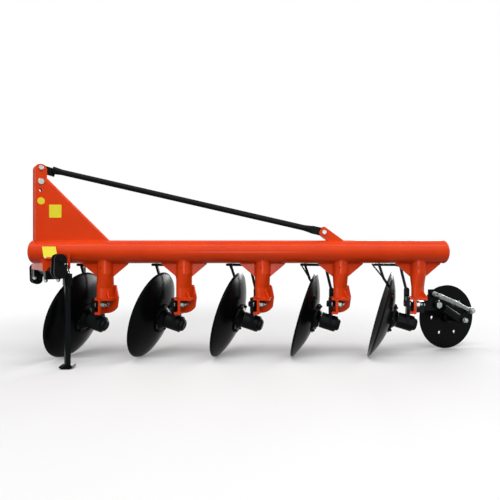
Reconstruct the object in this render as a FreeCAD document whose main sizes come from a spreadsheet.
"""Five-disc mounted plough, in millimetres.

The beam is one round pipe that lies along X, its hitch end towards -X.  Five standards hang
below it, and each carries a dished disc that is turned (disc_yaw) and leaned back (disc_tilt).
The ground is at Z = 0, and the origin lies on it below the middle of the machine.
"""
import FreeCAD, Part
import math
import os

import Sketcher
from FreeCAD import Placement, Rotation, Vector

DISC_COUNT = 5
CHAIN_LINKS = 9
WHEEL_HOLES = 6
# A rounded end keeps a narrow flat, so that its two corner rounds do not meet.
ROUND_END = 0.94
PIN_HEAD = 8.0
PIN_TAIL = 20.0
PIN_CHAMFER = 2.0

# ---------------------------------------------------------------------------------------------
# Driving dimensions: alias, value, what it is.  Lengths in millimetres, angles in degrees.
# ---------------------------------------------------------------------------------------------
DRIVING_SIZES = [
    ("seat_gap", 0.2, "clearance of a welded piece from the round face that it sits on"),
    ("run_gap", 5.0, "clearance between pieces that move past each other"),
    ("pin_gap", 0.05, "radial clearance of a pin or shaft in its bore"),
    ("boss_gap", 0.5, "clearance at the face of a boss beside a moving lever"),
    # beam
    ("pipe_dia", 168.3, "beam pipe, outside diameter"),
    ("pipe_wall", 8.0, "beam pipe, wall"),
    ("pipe_long", 2994.0, "beam pipe, length"),
    ("pipe_over", 154.0, "beam pipe, height of its axis above the tops of the discs"),
    ("pipe_front", -1618.0, "beam pipe, front end along X"),
    ("pipe_side", -45.0, "beam pipe, place of its axis along Y"),
    ("cap_deep", 24.0, "domed end cap, depth"),
    ("cap_knuckle", 18.0, "domed end cap, radius where its side turns into its face"),
    ("cap_thick", 8.0, "domed end cap, thickness of its sheet"),
    # standards
    ("first_standard", 514.0, "front end of the pipe to the first standard"),
    ("last_standard", 188.0, "rear end of the pipe to the last standard"),
    ("leg_dia", 116.0, "standard's tube where it is round"),
    ("leg_wide", 126.0, "standard's tube where it is flattened, along the travel line"),
    ("leg_thin", 70.0, "standard's tube where it is flattened, across the travel line"),
    ("leg_round_low", 158.0, "pipe axis down to the end of the round stretch"),
    ("leg_flat_high", 262.0, "pipe axis down to the start of the flattened stretch"),
    ("gusset_long", 332.0, "gusset below the pipe, length where it meets the pipe"),
    ("gusset_deep", 97.0, "gusset, depth below the underside of the pipe"),
    ("gusset_edge", 6.0, "gusset, height of its ends below the underside of the pipe"),
    ("gusset_thick", 12.0, "gusset, thickness"),
    # head at the foot of each standard
    ("head_over", 137.0, "top face of the head above the middle of the disc"),
    ("head_deep", 120.0, "head, height"),
    ("head_width", 96.0, "head, width across"),
    ("web_back", 12.0, "head's web, its rear face before the standard's axis"),
    ("web_thick", 18.0, "head's web"),
    ("flange_thick", 17.0, "head's flanges"),
    ("flange_tip", 58.0, "tips of the flanges before the standard's axis"),
    ("head_round", 9.0, "radius in the corners of the head"),
    ("shelf_back", 62.0, "top plate of the head behind the standard's axis"),
    ("rib_high", 50.0, "rib beside the leg on the top plate, height"),
    ("rib_out", 75.0, "rib beside the leg, its tip from the standard's axis"),
    ("rib_toe", 6.0, "rib beside the leg, height of its tip"),
    ("rib_thick", 12.0, "rib beside the leg, thickness"),
    ("cheek_thick", 12.0, "side cheek of the head"),
    ("cheek_over", 90.0, "side cheek, its top above the head"),
    ("cheek_top_back", 58.0, "side cheek, rear corner of its top behind the standard's axis"),
    ("cheek_back", 76.0, "side cheek, its rear corner behind the standard's axis"),
    ("cheek_low_back", 66.0, "side cheek, rear end of its curved edge behind the standard's axis"),
    ("cheek_low_rise", 47.0, "side cheek, rise of its curved edge"),
    # discs
    ("disc_dia", 660.0, "disc, diameter"),
    ("disc_dish", 80.0, "disc, depth of its dish"),
    ("disc_thick", 6.0, "disc, thickness"),
    ("disc_flat", 236.0, "disc, diameter of its flat middle"),
    ("disc_yaw", 16.0, "disc axis turned from the pipe"),
    ("disc_tilt", 15.5, "disc leaned back from upright"),
    ("disc_ahead", 271.0, "middle of the rim before the standard's axis, along the disc's heading"),
    ("disc_aside", 25.0, "middle of the rim aside of the standard's axis"),
    # hub
    ("hub_flange", 225.0, "turning hub flange, diameter"),
    ("hub_flange_thick", 14.0, "turning hub flange, thickness"),
    ("hub_cone_long", 26.0, "turning hub, length of its cone"),
    ("hub_cone_wide", 171.0, "turning hub, diameter of its cone's wide end"),
    ("spindle_dia", 50.0, "disc spindle"),
    ("barrel_dia", 118.0, "hub housing, diameter of its barrel"),
    ("barrel_long", 122.0, "hub housing, length of its barrel"),
    ("barrel_end_wall", 16.0, "hub housing, wall behind the spindle"),
    ("barrel_cap_dia", 92.0, "dust cap on the barrel's end, diameter"),
    ("barrel_cap_long", 22.0, "dust cap, length"),
    ("carrier_thick", 24.0, "upright plate of the hub housing"),
    ("carrier_wide", 104.0, "upright plate of the hub housing, width"),
    # scraper
    ("scraper_bar", 16.0, "scraper's bar, width"),
    ("scraper_bar_thick", 10.0, "scraper's bar, thickness"),
    ("scraper_post_low", 35.0, "scraper's post, its foot below the top of the head"),
    ("scraper_post_high", 65.0, "scraper's post, its top above the top of the head"),
    ("scraper_post_wide", 40.0, "scraper's post, width"),
    ("scraper_side", 69.0, "scraper's bar aside of the disc axis"),
    ("scraper_gap", 10.0, "scraper's blade to the hollow face of the disc"),
    ("scraper_thick", 6.0, "scraper's blade, thickness"),
    ("scraper_inner", 135.0, "scraper's blade, inner radius about the disc axis"),
    ("scraper_outer", 275.0, "scraper's blade, outer radius about the disc axis"),
    ("scraper_sweep", 44.0, "scraper's blade, angle that it spans about the disc axis"),
    ("scraper_over", 54.0, "scraper's bar, its level stretch above the top of the disc"),
    ("scraper_tip", 301.0, "scraper's bar, its front end before the standard's axis"),
    ("scraper_drop_ahead", 272.0, "scraper's hanger, its top before the standard's axis"),
    ("scraper_bend_ahead", 238.0, "scraper's hanger, its bend before the standard's axis"),
    ("scraper_bend_down", 105.0, "scraper's hanger, its bend below the level stretch"),
    ("scraper_stay_ahead", 322.0, "scraper's stay, its top before the standard's axis"),
    ("scraper_stay_out", 112.0, "scraper's stay, its top aside of the hanger"),
    ("scraper_stay_dia", 12.0, "scraper's stay, diameter"),
    # mast
    ("travel_angle", 36.0, "line of travel turned from the pipe"),
    ("mast_wide", 80.0, "mast bars, width"),
    ("mast_thick", 14.0, "mast bars, thickness"),
    ("mast_inside", 50.0, "mast bars, distance between them"),
    ("mast_rise", 634.0, "mast bars, height above the pipe axis"),
    ("mast_back", 39.0, "front end of the pipe back to the mast's middle"),
    ("mast_brace_hole", 25.0, "hole for the brace bolt"),
    ("mast_brace_drop", 27.0, "top of the mast down to the brace bolt"),
    ("link_hole", 25.7, "hole for the top link pin"),
    ("link_pin_drop", 126.0, "top of the mast down to the top link pin"),
    ("link_spare_drop", 188.0, "top of the mast down to the spare top link hole"),
    ("link_head", 44.0, "head of the top link pin"),
    ("web_rise", 535.0, "mast gusset, height above the pipe axis"),
    ("web_long", 541.0, "front end of the pipe back to the end of the mast gusset"),
    ("web_top", 52.0, "mast gusset, length of its level top behind the mast's middle"),
    ("web_round", 14.0, "mast gusset, radius of the corner of its top"),
    ("web_lip", 36.0, "mast gusset, width of its folded edge"),
    ("web_fold", 12.0, "mast gusset, radius of its folds"),
    # brace
    ("brace_dia", 42.4, "brace tube, outside diameter"),
    ("brace_flat", 20.0, "brace tube, thickness of its flattened ends"),
    ("brace_flat_wide", 58.0, "brace tube, width of its flattened ends"),
    ("brace_flat_long", 90.0, "brace tube, length of its flattened ends past the pins"),
    ("brace_change", 70.0, "brace tube, length where it turns from flat to round"),
    ("ear_place", 2110.0, "front end of the pipe back to the brace ear's pin"),
    ("ear_rise", 143.0, "brace ear, height of its pin above the pipe axis"),
    ("ear_wide", 70.0, "brace ear, width of its slanting bar"),
    ("ear_lean", 36.0, "brace ear, slant of its bar from the pipe"),
    ("ear_end", 32.0, "brace ear, its rounded end past the pin"),
    ("ear_sheet", 12.0, "brace ear, plate thickness"),
    ("ear_pin", 25.0, "brace ear's pin"),
    # hitch
    ("shaft_dia", 63.5, "cross shaft, diameter"),
    ("shaft_long", 840.0, "cross shaft, length"),
    ("shaft_drop", 136.0, "cross shaft's axis below the pipe axis"),
    ("shaft_near_x", 316.0, "near end of the cross shaft behind the pipe's front end"),
    ("shaft_near_y", 300.0, "near end of the cross shaft aside of the pipe axis"),
    ("clevis_place", 8.0, "clevis's outer face in from the end of the cross shaft"),
    ("clevis_wide", 86.0, "clevis cheeks, width at the cross shaft"),
    ("clevis_end", 76.0, "clevis cheeks, width at the link pin"),
    ("clevis_reach", 84.0, "clevis pin from the cross shaft's axis"),
    ("clevis_thick", 12.0, "clevis cheeks, thickness"),
    ("clevis_inside", 72.0, "clevis cheeks, distance between them"),
    ("clevis_pin", 28.0, "clevis pin"),
    ("saddle_start", 260.0, "hitch saddle, its near end along the cross shaft"),
    ("saddle_short", 200.0, "hitch saddle, its far end in from the cross shaft's far end"),
    ("saddle_wide", 120.0, "hitch saddle, width in the line of travel"),
    ("saddle_thick", 10.0, "hitch saddle, thickness of its walls"),
    ("saddle_web", 12.0, "hitch saddle, thickness of its top web"),
    ("saddle_low", 3.0, "hitch saddle, its lower edges above the cross shaft's axis"),
    ("saddle_wall", 46.0, "hitch saddle, top of its walls above the cross shaft's axis"),
    ("saddle_peak", 88.0, "hitch saddle, top of its near end above the cross shaft's axis"),
    ("label_plate_rise", 39.0, "label plate, its top above the pipe axis"),
    ("label_plate_start", 88.0, "label plate, front corner of its top behind the pipe's front end"),
    ("label_plate_long", 100.0, "label plate, length"),
    ("label_plate_deep", 100.0, "label plate, height along its slope"),
    ("label_plate_lean", 35.0, "label plate, its lower edge behind its upper one"),
    ("label_plate_slope", 26.0, "label plate, slope from upright"),
    ("label_plate_thick", 8.0, "label plate, thickness"),
    ("clamp_long", 60.0, "clamp under the cross shaft, length along it"),
    ("clamp_wide", 100.0, "clamp under the cross shaft, width"),
    ("clamp_deep", 57.0, "clamp under the cross shaft, depth below the shaft's axis"),
    ("tab_wide", 18.0, "tab beside the pipe, width"),
    ("tab_thick", 8.0, "tab beside the pipe, thickness"),
    ("tab_place", 281.0, "tab behind the pipe's front end"),
    ("tab_drop", 119.0, "tab, its lower end below the pipe axis"),
    ("chain_hole", 10.0, "hole for the chain in the near clevis"),
    ("chain_hole_back", 30.0, "hole for the chain behind the cross shaft's axis"),
    ("chain_hole_rise", 54.0, "hole for the chain above the cross shaft's axis"),
    ("ring_droop", 40.0, "ring at the chain's top, its slope below level"),
    ("link_wire", 4.0, "chain, thickness of its wire"),
    ("link_long", 15.8, "chain link, length inside"),
    ("link_wide", 7.0, "chain link, width inside"),
    ("ring_dia", 26.0, "ring at the chain's top, diameter of its wire's middle line"),
    # stand
    ("stand_bar", 34.0, "parking stand, width of its square bar"),
    ("stand_sleeve", 50.0, "parking stand, width of its sleeve"),
    ("stand_sleeve_long", 80.0, "parking stand, length of its sleeve"),
    ("stand_sleeve_drop", 12.0, "parking stand, top of the sleeve below the cross shaft's axis"),
    ("stand_behind", 54.0, "parking stand behind the cross shaft's axis"),
    ("stand_inside", 56.0, "parking stand, in from the near end of the cross shaft"),
    ("stand_foot", 90.0, "parking stand, width of its foot"),
    ("stand_foot_deep", 70.0, "parking stand, depth of its foot"),
    ("stand_foot_lip", 18.0, "parking stand, length of its foot's turned-up edges"),
    ("stand_foot_thick", 10.0, "parking stand, thickness of its foot"),
    # rear wheel
    ("wheel_dia", 516.0, "furrow wheel, diameter"),
    ("wheel_thick", 10.0, "furrow wheel, thickness of its plate"),
    ("wheel_yaw", 15.0, "furrow wheel's plane turned from the pipe"),
    ("wheel_hub", 96.0, "furrow wheel's hub, diameter"),
    ("wheel_hub_long", 90.0, "furrow wheel's hub, length"),
    ("wheel_hub_end", 69.0, "furrow wheel's hub, diameter of its ends"),
    ("wheel_holes", 24.0, "lightening holes in the furrow wheel"),
    ("wheel_hole_ring", 288.0, "diameter of the ring of holes"),
    ("wheel_offset", 140.0, "furrow wheel's plate beside the arm"),
    ("axle_dia", 35.0, "furrow wheel's axle"),
    ("arm_pivot_x", 222.0, "arm pivot behind the last standard"),
    ("arm_pivot_y", 172.0, "arm pivot aside of the pipe axis"),
    ("arm_pivot_drop", 78.0, "arm pivot below the top of the standards' heads"),
    ("arm_run", 202.0, "arm, its length level with the ground"),
    ("arm_thick", 14.0, "arm and bracket plates, thickness"),
    ("arm_boss", 62.0, "arm, diameter of its rounded ends"),
    ("arm_tube", 56.0, "arm's tube, diameter"),
    ("arm_tube_start", 42.0, "arm's tube, its front end from the pivot"),
    ("arm_pin", 24.0, "arm pivot pin"),
    ("screw_front", 51.0, "adjuster's front pin before the arm pivot"),
    ("screw_rise", 89.0, "adjuster's front pin above the arm pivot"),
    ("screw_back", 281.0, "adjuster's rear pin behind the arm pivot"),
    ("screw_fall", 50.0, "adjuster's rear pin below the arm pivot"),
    ("screw_barrel", 40.0, "adjuster's barrel, diameter"),
    ("screw_collar", 50.0, "adjuster's barrel, width of its hexagonal collar"),
    ("screw_rod", 30.0, "adjuster's screw, diameter"),
    ("screw_neck", 24.0, "adjuster's barrel, diameter of its neck behind the eye"),
    ("screw_pin", 16.0, "adjuster's pins"),
    ("screw_eye", 36.0, "adjuster's front eye, diameter"),
    ("screw_boss", 48.0, "adjuster's rear boss, diameter"),
    ("screw_slack", 2.5, "adjuster's rear boss, radial clearance round its pin"),
    ("screw_boss_long", 36.0, "adjuster's rear boss, length"),
    ("lug_wide", 42.0, "lugs that hold the adjuster, width"),
    ("lug_over", 34.0, "front lug, its top above the adjuster's pin"),
]

doc = FreeCAD.newDocument("disc_plough")
sheet = doc.addObject("Spreadsheet::Sheet", "Sizes")


class Size:
    """A number and the sheet formula that gives it, so that each relation is written once."""

    def __init__(self, number, formula):
        self.number = number
        self.formula = formula

    def combine(self, sign, other, swapped=False):
        other = other if isinstance(other, Size) else Size(float(other), f"{other:.10g}")
        first, second = (other, self) if swapped else (self, other)
        number = {
            "+": lambda a, b: a + b,
            "-": lambda a, b: a - b,
            "*": lambda a, b: a * b,
            "/": lambda a, b: a / b,
        }[sign](first.number, second.number)
        return Size(number, f"({first.formula} {sign} {second.formula})")

    def __add__(self, other):
        return self.combine("+", other)

    def __radd__(self, other):
        return self.combine("+", other, swapped=True)

    def __sub__(self, other):
        return self.combine("-", other)

    def __rsub__(self, other):
        return self.combine("-", other, swapped=True)

    def __mul__(self, other):
        return self.combine("*", other)

    def __rmul__(self, other):
        return self.combine("*", other, swapped=True)

    def __truediv__(self, other):
        return self.combine("/", other)

    def __neg__(self):
        return self.combine("*", -1.0)

    def __float__(self):
        return float(self.number)


def root(size):
    """Square root of a size."""
    return Size(math.sqrt(size.number), f"sqrt({size.formula})")


def sine(angle):
    """Sine of a size that is an angle in degrees."""
    return Size(math.sin(math.radians(angle.number)), f"sin({angle.formula} * 1 deg)")


def cosine(angle):
    """Cosine of a size that is an angle in degrees."""
    return Size(math.cos(math.radians(angle.number)), f"cos({angle.formula} * 1 deg)")


class Sizes:
    """The sheet's cells by name."""


for row, (alias, number, note) in enumerate(DRIVING_SIZES, start=1):
    sheet.set(f"A{row}", note)
    sheet.set(f"B{row}", str(number))
    sheet.setAlias(f"B{row}", alias)
    setattr(Sizes, alias, Size(float(number), f"Sizes.{alias}"))
doc.recompute()
S = Sizes

nodes = []


# ---------------------------------------------------------------------------------------------
# Small tools
# ---------------------------------------------------------------------------------------------
def bind(item, **sizes):
    """Set an object's sizes, each bound to its formula in the sheet."""
    for name, size in sizes.items():
        if isinstance(size, Size):
            item.setExpression(name, size.formula)
        else:
            setattr(item, name, size)
    return item


def place(x=0.0, y=0.0, z=0.0, axis=(0, 0, 1), angle=0.0):
    """A placement at a point, turned about an axis."""
    return Placement(Vector(float(x), float(y), float(z)), Rotation(Vector(*axis), float(angle)))


def node(item, label, placement=None):
    """Keep an object as one finished piece, under its own name."""
    item.Label = label
    if placement is not None:
        item.Placement = placement
    nodes.append(item)
    return item


def cylinder(name, radius, height, placement):
    solid = bind(doc.addObject("Part::Cylinder", name), Radius=radius, Height=height)
    solid.Placement = placement
    return solid


def box(name, length, width, height, placement):
    solid = bind(doc.addObject("Part::Box", name), Length=length, Width=width, Height=height)
    solid.Placement = placement
    return solid


def fuse(name, *solids):
    joined = doc.addObject("Part::MultiFuse", name)
    joined.Shapes = list(solids)
    joined.Refine = True
    return joined


def cut(name, base, *tools):
    """Take one or more solids away from a base."""
    removed = doc.addObject("Part::Cut", name)
    removed.Base = base
    removed.Tool = tools[0] if len(tools) == 1 else fuse(name + "_tools", *tools)
    return removed


def new_body(name):
    return doc.addObject("PartDesign::Body", name)


def new_sketch(body, name, plane="XZ_Plane"):
    """A sketch on one of the body's own origin planes."""
    sketch = body.newObject("Sketcher::SketchObject", name)
    origin = {item.Role: item for item in body.Origin.OriginFeatures}
    sketch.AttachmentSupport = [(origin[plane], "")]
    sketch.MapMode = "FlatFace"
    return sketch


def fix(sketch, kind, line, end, size):
    """Hold one coordinate of a sketch point at a size."""
    held = sketch.addConstraint(Sketcher.Constraint(kind, -1, 1, line, end, float(size)))
    if isinstance(size, Size):
        sketch.setExpression(f"Constraints[{held}]", size.formula)


def arc_side(start, end, side):
    """An arc from start to end, about a centre of which one coordinate is given."""
    fixed, size, turn = side
    x1, y1, x2, y2 = start.x, start.y, end.x, end.y
    squares = (x2 * x2 + y2 * y2 - x1 * x1 - y1 * y1) / 2
    if fixed == "about_x":
        middle = Vector(float(size), (squares - (x2 - x1) * float(size)) / (y2 - y1), 0)
    else:
        middle = Vector((squares - (y2 - y1) * float(size)) / (x2 - x1), float(size), 0)
    round_line = Part.Circle(middle, Vector(0, 0, 1), start.distanceToPoint(middle))
    first, last = (start, end) if turn == "left" else (end, start)
    angles = [math.atan2(point.y - middle.y, point.x - middle.x) for point in (first, last)]
    if angles[1] < angles[0]:
        angles[1] += 2 * math.pi
    return Part.ArcOfCircle(round_line, *angles)


def outline(sketch, points):
    """A closed outline through points whose coordinates are sizes.

    A point is (x, y), or (x, y, (fixed, size, turn)) where the side that leaves it is an arc:
    fixed is about_x or about_y, size is that coordinate of its centre, turn is left or right.
    """
    corners = [Vector(float(point[0]), float(point[1]), 0) for point in points]
    count = len(points)
    sides = []
    for i, point in enumerate(points):
        start, end = corners[i], corners[(i + 1) % count]
        if len(point) == 3:
            line = sketch.addGeometry(arc_side(start, end, point[2]), False)
            sides.append((line, 1, 2) if point[2][2] == "left" else (line, 2, 1))
        else:
            sides.append((sketch.addGeometry(Part.LineSegment(start, end), False), 1, 2))
    for i, point in enumerate(points):
        line, begins, ends = sides[i]
        follows = sides[(i + 1) % count]
        sketch.addConstraint(Sketcher.Constraint("Coincident", line, ends, follows[0], follows[1]))
        fix(sketch, "DistanceX", line, begins, point[0])
        fix(sketch, "DistanceY", line, begins, point[1])
        if len(point) == 3:
            kind = "DistanceX" if point[2][0] == "about_x" else "DistanceY"
            fix(sketch, kind, line, 3, point[2][1])


def open_line(sketch, points):
    """An open run of straight lines through points whose coordinates are sizes."""
    corners = [Vector(float(x), float(y), 0) for x, y in points]
    last = len(points) - 2
    for i in range(last + 1):
        sketch.addGeometry(Part.LineSegment(corners[i], corners[i + 1]), False)
    for i, (x, y) in enumerate(points[:-1]):
        if i:
            sketch.addConstraint(Sketcher.Constraint("Coincident", i - 1, 2, i, 1))
        fix(sketch, "DistanceX", i, 1, x)
        fix(sketch, "DistanceY", i, 1, y)
    fix(sketch, "DistanceX", last, 2, points[-1][0])
    fix(sketch, "DistanceY", last, 2, points[-1][1])


def circle(sketch, x, y, diameter):
    """A circle whose centre and diameter are sizes."""
    middle = Vector(float(x), float(y), 0)
    radius = float(diameter) / 2
    line = sketch.addGeometry(Part.Circle(middle, Vector(0, 0, 1), radius), False)
    fix(sketch, "DistanceX", line, 3, x)
    fix(sketch, "DistanceY", line, 3, y)
    held = sketch.addConstraint(Sketcher.Constraint("Diameter", line, float(diameter)))
    if isinstance(diameter, Size):
        sketch.setExpression(f"Constraints[{held}]", diameter.formula)


def pad(body, sketch, thickness):
    """Thicken a sketch by half to each side of its plane."""
    solid = body.newObject("PartDesign::Pad", sketch.Name + "_pad")
    solid.Profile = sketch
    solid.SideType = "Symmetric"
    bind(solid, Length=thickness)
    sketch.Visibility = False
    return solid


def holes(body, name, plane, circles, depth):
    """Round holes through a body; circles holds x, y and diameter."""
    sketch = new_sketch(body, name, plane)
    for x, y, diameter in circles:
        circle(sketch, x, y, diameter)
    drilled = body.newObject("PartDesign::Pocket", name + "_pocket")
    drilled.Profile = sketch
    drilled.SideType = "Symmetric"
    bind(drilled, Length=depth)
    return drilled


def round_corners(body, feature, plane, corners):
    """Fillet the edges that stand on the plane at the given corners, each with its radius."""
    doc.recompute()
    across = {"XZ_Plane": 1, "XY_Plane": 2, "YZ_Plane": 0}[plane]
    flat = [i for i in range(3) if i != across]
    for number, (x, y, radius) in enumerate(corners):
        picked = []
        for index, edge in enumerate(feature.Shape.Edges, start=1):
            ends = [vertex.Point for vertex in edge.Vertexes]
            if len(ends) == 2 and all(
                abs(end[flat[0]] - float(x)) < 0.01 and abs(end[flat[1]] - float(y)) < 0.01
                for end in ends
            ):
                picked.append(f"Edge{index}")
        if not picked:
            raise RuntimeError(f"{body.Name}: no edge at {float(x):.1f}, {float(y):.1f}")
        rounded = body.newObject("PartDesign::Fillet", f"{feature.Name}_round_{number}")
        rounded.Base = (feature, picked)
        bind(rounded, Radius=radius)
        doc.recompute()
        feature = rounded
    return feature


def plate(name, points, thickness, plane="XZ_Plane", corners=(), circles=()):
    """A flat plate: an outline, its rounded corners and its round holes."""
    body = new_body(name)
    sketch = new_sketch(body, name + "_outline", plane)
    outline(sketch, points)
    feature = pad(body, sketch, thickness)
    if corners:
        feature = round_corners(body, feature, plane, corners)
    if circles:
        holes(body, name + "_holes", plane, circles, thickness * 2)
    return body


def fold_edges(body, corner, radius):
    """Round a plate's two long edges that start at a corner of its outline, as a fold does."""
    doc.recompute()
    feature = body.Tip
    picked = []
    for index, edge in enumerate(feature.Shape.Edges, start=1):
        ends = [vertex.Point for vertex in edge.Vertexes]
        starts = [
            end for end in ends
            if abs(end.x - float(corner[0])) < 0.01 and abs(end.z - float(corner[1])) < 0.01
        ]
        sloping = len(ends) == 2 and abs(ends[0].x - ends[1].x) > 1.0
        if len(starts) == 1 and sloping and abs(ends[0].z - ends[1].z) > 1.0:
            picked.append(f"Edge{index}")
    if len(picked) != 2:
        raise RuntimeError(f"{body.Name}: {len(picked)} edges to fold")
    folded = body.newObject("PartDesign::Fillet", f"{feature.Name}_fold")
    folded.Base = (feature, picked)
    bind(folded, Radius=radius)
    return folded


def turned(name, points, angle=360.0):
    """A solid of revolution about the body's Z axis, from its half section in XZ."""
    body = new_body(name)
    sketch = new_sketch(body, name + "_section")
    outline(sketch, points)
    feature = body.newObject("PartDesign::Revolution", name + "_turn")
    feature.Profile = sketch
    feature.ReferenceAxis = (sketch, ["V_Axis"])
    bind(feature, Angle=angle)
    return body


# ---------------------------------------------------------------------------------------------
# Places that several pieces share
# ---------------------------------------------------------------------------------------------
pipe_radius = S.pipe_dia / 2
pipe_rear = S.pipe_front + S.pipe_long
standard_pitch = (S.pipe_long - S.first_standard - S.last_standard) / (DISC_COUNT - 1)
disc_radius = S.disc_dia / 2
disc_low = disc_radius * cosine(S.disc_tilt)
disc_top = 2 * disc_low
pipe_high = disc_top + S.pipe_over
pipe_under = pipe_high - pipe_radius
head_high = disc_low + S.head_over
head_low = head_high - S.head_deep
arm_pivot_high = head_high - S.arm_pivot_drop
cheek_side = S.head_width / 2
ALONG_X = Rotation(Vector(0, 1, 0), 90)


def pipe_body(name, radius, start, length):
    """A cylinder on the pipe's axis."""
    lies = Placement(Vector(float(start), float(S.pipe_side), float(pipe_high)), ALONG_X)
    return cylinder(name, radius, length, lies)


def pipe_space(name):
    """The room that the pipe takes, for pieces that are welded to its outside."""
    past = S.pipe_dia
    return pipe_body(name, pipe_radius + S.seat_gap, S.pipe_front - past, S.pipe_long + 2 * past)


def standard_place(number):
    """Foot of a standard's axis on the ground, turned with the disc's heading."""
    x = S.pipe_front + S.first_standard + (number - 1) * standard_pitch
    return place(x, S.pipe_side, 0, angle=-float(S.disc_yaw))


def disc_place(number):
    """Middle of a disc's rim: Z along the disc's axis to its back, X down the disc."""
    tilt = place(
        -S.disc_ahead, S.disc_aside, disc_low, axis=(0, 1, 0), angle=90 + float(S.disc_tilt)
    )
    return standard_place(number).multiply(tilt)


# The dish is a sphere from the rim in to a flat middle.  Its centre lies ahead of the rim plane.
flat_radius = S.disc_flat / 2
dish_centre = (
    disc_radius * disc_radius - flat_radius * flat_radius - S.disc_dish * S.disc_dish
) / (2 * S.disc_dish)
dish_sphere = root(disc_radius * disc_radius + dish_centre * dish_centre)


def dish_at(radius, inward=0.0):
    """Depth behind the rim plane of the sphere that lies inward of the hollow face."""
    sphere = dish_sphere - inward
    return root(sphere * sphere - radius * radius) - dish_centre


disc_back_face = S.disc_dish + S.disc_thick
cone_start = disc_back_face + S.hub_flange_thick
cone_end = cone_start + S.hub_cone_long
barrel_start = cone_end + S.run_gap
barrel_end = barrel_start + S.barrel_long
bore_end = barrel_end - S.barrel_end_wall


# ---------------------------------------------------------------------------------------------
# Beam pipe and its ends
# ---------------------------------------------------------------------------------------------
def main_pipe():
    outside = pipe_body("main_pipe_outside", pipe_radius, S.pipe_front, S.pipe_long)
    inside = pipe_body(
        "main_pipe_inside",
        pipe_radius - S.pipe_wall,
        S.pipe_front - S.pipe_wall,
        S.pipe_long + 2 * S.pipe_wall,
    )
    node(cut("main_pipe", outside, inside), "main_pipe")


def end_cap(label, end, way):
    """A pressed domed cap welded to one end of the pipe; way is the end's outward side."""
    deep, knuckle, thick = S.cap_deep, S.cap_knuckle, S.cap_thick
    inset = pipe_radius - knuckle
    # The crown meets the knuckle smoothly where one line runs through both their centres.
    crown = (inset * inset + deep * deep - knuckle * knuckle) / (2 * (deep - knuckle))
    lean = (crown - deep) / (crown - knuckle)
    share = inset / (crown - knuckle)
    inner = crown - thick
    points = [
        (0.0, deep, ("about_x", 0.0, "right")),
        (crown * share, deep - crown + crown * lean, ("about_y", 0.0, "right")),
        (pipe_radius, 0.0),
        (pipe_radius - thick, 0.0, ("about_y", 0.0, "left")),
        (inner * share, deep - crown + inner * lean, ("about_x", 0.0, "left")),
        (0.0, deep - thick),
    ]
    cap = turned(label, points)
    lies = Placement(
        Vector(float(end), float(S.pipe_side), float(pipe_high)),
        Rotation(Vector(0, 1, 0), 90.0 * way),
    )
    node(cap, label, lies)


# ---------------------------------------------------------------------------------------------
# Standards
# ---------------------------------------------------------------------------------------------
def ellipse(name, long_axis, short_axis, high, turn):
    line = bind(
        doc.addObject("Part::Ellipse", name), MajorRadius=long_axis / 2, MinorRadius=short_axis / 2
    )
    line.Placement = place(z=high, angle=turn)
    return line


def leg(name):
    """Tube that is round at the pipe and flattened in the line of travel at its foot."""
    turn = float(S.travel_angle) + float(S.disc_yaw)
    round_low = pipe_high - S.leg_round_low
    flat_high = pipe_high - S.leg_flat_high
    top = cylinder(name + "_top", S.leg_dia / 2, S.leg_round_low, place(z=round_low))
    ring = ellipse(name + "_ring", S.leg_dia, S.leg_dia, round_low, turn)
    oval = ellipse(name + "_oval", S.leg_wide, S.leg_thin, flat_high, turn)
    change = doc.addObject("Part::Loft", name + "_change")
    change.Sections = [ring, oval]
    change.Solid = True
    change.Ruled = True
    foot = doc.addObject("Part::Extrusion", name + "_foot")
    foot.Base = oval
    foot.DirMode = "Custom"
    foot.Dir = Vector(0, 0, -1)
    foot.Solid = True
    bind(foot, LengthFwd=flat_high - head_high)
    return fuse(name, top, change, foot)


def gusset(name):
    """Plate below the pipe, in the plane of its axis, that runs down to the leg on both sides."""
    half = S.gusset_long / 2
    narrow = S.leg_dia / 2
    points = [
        (-narrow, pipe_under - S.gusset_deep),
        (narrow, pipe_under - S.gusset_deep),
        (half, pipe_under - S.gusset_edge),
        (half, pipe_under + S.gusset_edge),
        (-half, pipe_under + S.gusset_edge),
        (-half, pipe_under - S.gusset_edge),
    ]
    sheet_metal = plate(name, points, S.gusset_thick)
    sheet_metal.Placement = place(angle=S.disc_yaw)
    return sheet_metal


def head(name):
    """C-shaped head that is open towards the hub, with a top plate that takes the leg."""
    web_front = -(S.web_back + S.web_thick)
    under_top = head_high - S.flange_thick
    over_bottom = head_low + S.flange_thick
    points = [
        (-S.flange_tip, head_low),
        (-S.web_back, head_low),
        (-S.web_back, under_top),
        (S.shelf_back, under_top),
        (S.shelf_back, head_high),
        (-S.flange_tip, head_high),
        (-S.flange_tip, under_top),
        (web_front, under_top),
        (web_front, over_bottom),
        (-S.flange_tip, over_bottom),
    ]
    corners = [
        (-S.web_back, head_low, S.head_round),
        (-S.web_back, under_top, S.head_round),
        (web_front, under_top, S.head_round),
        (web_front, over_bottom, S.head_round),
    ]
    return plate(name, points, S.head_width, corners=corners)


def rib(name):
    """Upright rib that stays the flat face of the leg on the top plate."""
    inner = S.leg_thin / 4
    points = [
        (inner, head_high),
        (S.rib_out, head_high),
        (S.rib_out, head_high + S.rib_toe),
        (S.leg_thin / 2 + S.rib_toe, head_high + S.rib_high),
        (inner, head_high + S.rib_high),
    ]
    stay = plate(name, points, S.rib_thick)
    stay.Placement = place(angle=S.travel_angle + S.disc_yaw - 90.0)
    return stay


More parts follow.
